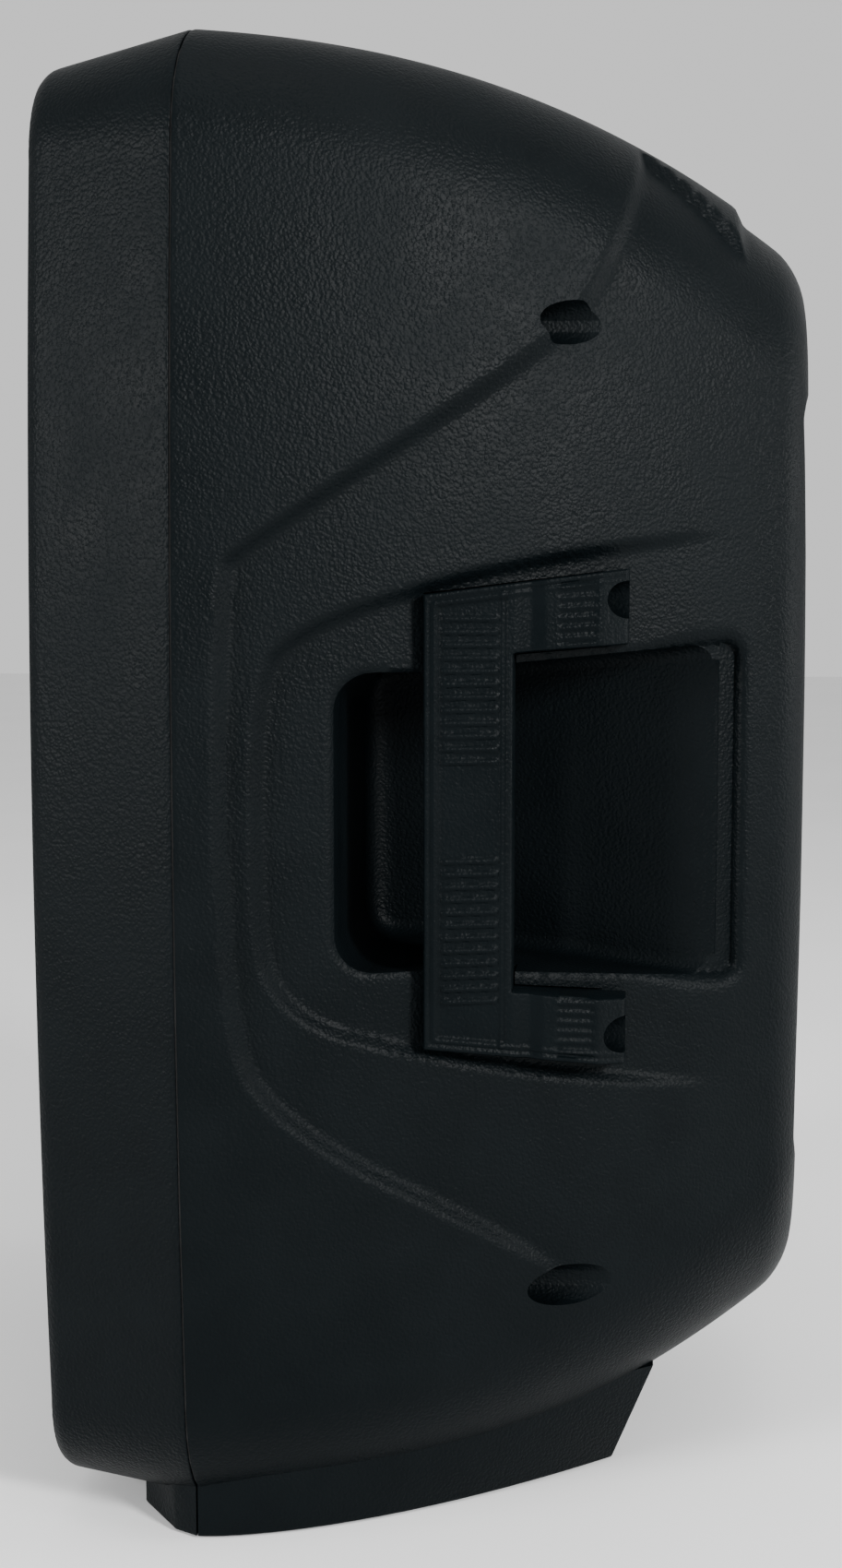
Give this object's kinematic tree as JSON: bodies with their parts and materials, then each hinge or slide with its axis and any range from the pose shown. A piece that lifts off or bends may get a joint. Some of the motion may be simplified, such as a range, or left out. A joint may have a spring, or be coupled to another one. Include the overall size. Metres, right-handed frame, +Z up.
{
  "type": "pa speaker",
  "caption": "Moulded two-way powered loudspeaker cabinet with recessed side grips, top handle, horn, woofer, rear amplifier panel and pole socket.",
  "frame": {"origin": "on the floor under the middle of the cabinet's bounding box", "axes": "+Z up, -Y towards the grille, +Y towards the amplifier panel"},
  "size_m": [0.4048, 0.307, 0.6],
  "materials": {
    "cabinet_plastic": "leather-grained moulded black",
    "handle_plastic": "grained moulded black",
    "grille_steel": "powder coated black",
    "black_steel": "black oxide",
    "zinc_steel": "zinc plated",
    "ferrite": "sintered, matt",
    "foam": "open-cell foam",
    "wadding": "fleecy wadding",
    "paper_cone": "coated paper pulp",
    "surround_rubber": "moulded, matt",
    "spider_cloth": "phenolic cloth",
    "coil_copper": "enamelled winding",
    "horn_plastic": "fine satin",
    "driver_metal": "cast, painted",
    "titanium": "pressed foil",
    "panel_metal": "fine-texture black",
    "heatsink_aluminium": "black anodised",
    "circuit_board": "solder resist",
    "brass_parts": "turned",
    "socket_plastic": "satin",
    "knob_plastic": "soft satin",
    "latch_metal": "plated",
    "rocker_plastic": "glossy red",
    "led_plastic": "clear green",
    "lead_insulation": "insulated wire"
  },
  "bodies": {
    "cabinet": {"front_shell": "cabinet_plastic", "rear_shell": "cabinet_plastic", "shell_gasket": "foam", "shell_screws": "zinc_steel", "grille": "grille_steel", "grille_foam": "foam", "grille_screws": "black_steel", "woofer_basket": "black_steel", "woofer_gasket": "foam", "woofer_top_plate": "zinc_steel", "woofer_magnet": "ferrite", "woofer_yoke": "zinc_steel", "woofer_surround": "surround_rubber", "woofer_spider": "spider_cloth", "woofer_screws": "black_steel", "horn_flare": "horn_plastic", "horn_screws": "black_steel", "hf_driver_body": "driver_metal", "hf_magnet": "ferrite", "hf_diaphragm": "titanium", "hf_rear_cap": "driver_metal", "port_tubes": "horn_plastic", "amp_panel": "panel_metal", "panel_gasket": "foam", "panel_screws": "black_steel", "heat_sink": "heatsink_aluminium", "amp_board": "circuit_board", "board_standoffs": "brass_parts", "power_transformer": "coil_copper", "input_jacks": "socket_plastic", "link_output": "socket_plastic", "potentiometers": "zinc_steel", "led_lenses": "led_plastic", "rocker_frame": "socket_plastic", "inlet_socket": "socket_plastic", "fuse_drawer": "socket_plastic", "side_handle_right": "handle_plastic", "side_handle_left": "handle_plastic", "handle_screws": "zinc_steel", "top_handle": "handle_plastic", "top_handle_screws": "zinc_steel", "pole_cup": "horn_plastic", "pole_cup_screws": "zinc_steel", "rubber_feet": "surround_rubber", "acoustic_lining": "wadding", "woofer_leads": "lead_insulation", "hf_leads": "lead_insulation"},
    "cone_assembly": {"woofer_cone": "paper_cone", "woofer_dust_cap": "paper_cone", "woofer_voice_coil": "coil_copper"},
    "gain_knob_a_body": {"gain_knob_a": "knob_plastic"},
    "gain_knob_b_body": {"gain_knob_b": "knob_plastic"},
    "master_knob_body": {"master_knob": "knob_plastic"},
    "voicing_button_body": {"voicing_button": "knob_plastic"},
    "latch_a_body": {"jack_latch_a": "latch_metal"},
    "latch_b_body": {"jack_latch_b": "latch_metal"},
    "rocker_body": {"power_rocker": "rocker_plastic"}
  },
  "joints": [
    {"name": "cone_travel", "type": "slide", "parent": "cabinet", "child": "cone_assembly", "axis": [0, -1, 0], "range_m": [-0.006, 0.006], "stiffness_N_per_m": 4000, "deforming": ["woofer_surround", "woofer_spider"]},
    {"name": "gain_a_turn", "type": "hinge", "parent": "cabinet", "child": "gain_knob_a_body", "pos_m": [-0.042, 0.14, 0.356], "axis": [0, 1, 0], "range_deg": [-150, 150]},
    {"name": "gain_b_turn", "type": "hinge", "parent": "cabinet", "child": "gain_knob_b_body", "pos_m": [0.042, 0.14, 0.356], "axis": [0, 1, 0], "range_deg": [-150, 150]},
    {"name": "master_turn", "type": "hinge", "parent": "cabinet", "child": "master_knob_body", "pos_m": [0, 0.14, 0.356], "axis": [0, 1, 0], "range_deg": [-150, 150]},
    {"name": "voicing_press", "type": "slide", "parent": "cabinet", "child": "voicing_button_body", "axis": [0, -1, 0], "range_m": [0, 0.002], "stiffness_N_per_m": 400, "springref_m": -0.001},
    {"name": "latch_a_press", "type": "slide", "parent": "cabinet", "child": "latch_a_body", "axis": [0, -1, 0], "range_m": [0, 0.0015], "stiffness_N_per_m": 400, "springref_m": -0.001},
    {"name": "latch_b_press", "type": "slide", "parent": "cabinet", "child": "latch_b_body", "axis": [0, -1, 0], "range_m": [0, 0.0015], "stiffness_N_per_m": 400, "springref_m": -0.001},
    {"name": "rocker_tip", "type": "hinge", "parent": "cabinet", "child": "rocker_body", "pos_m": [0.04, 0.133, 0.182], "axis": [1, 0, 0], "range_deg": [-14, 0]}
  ]
}
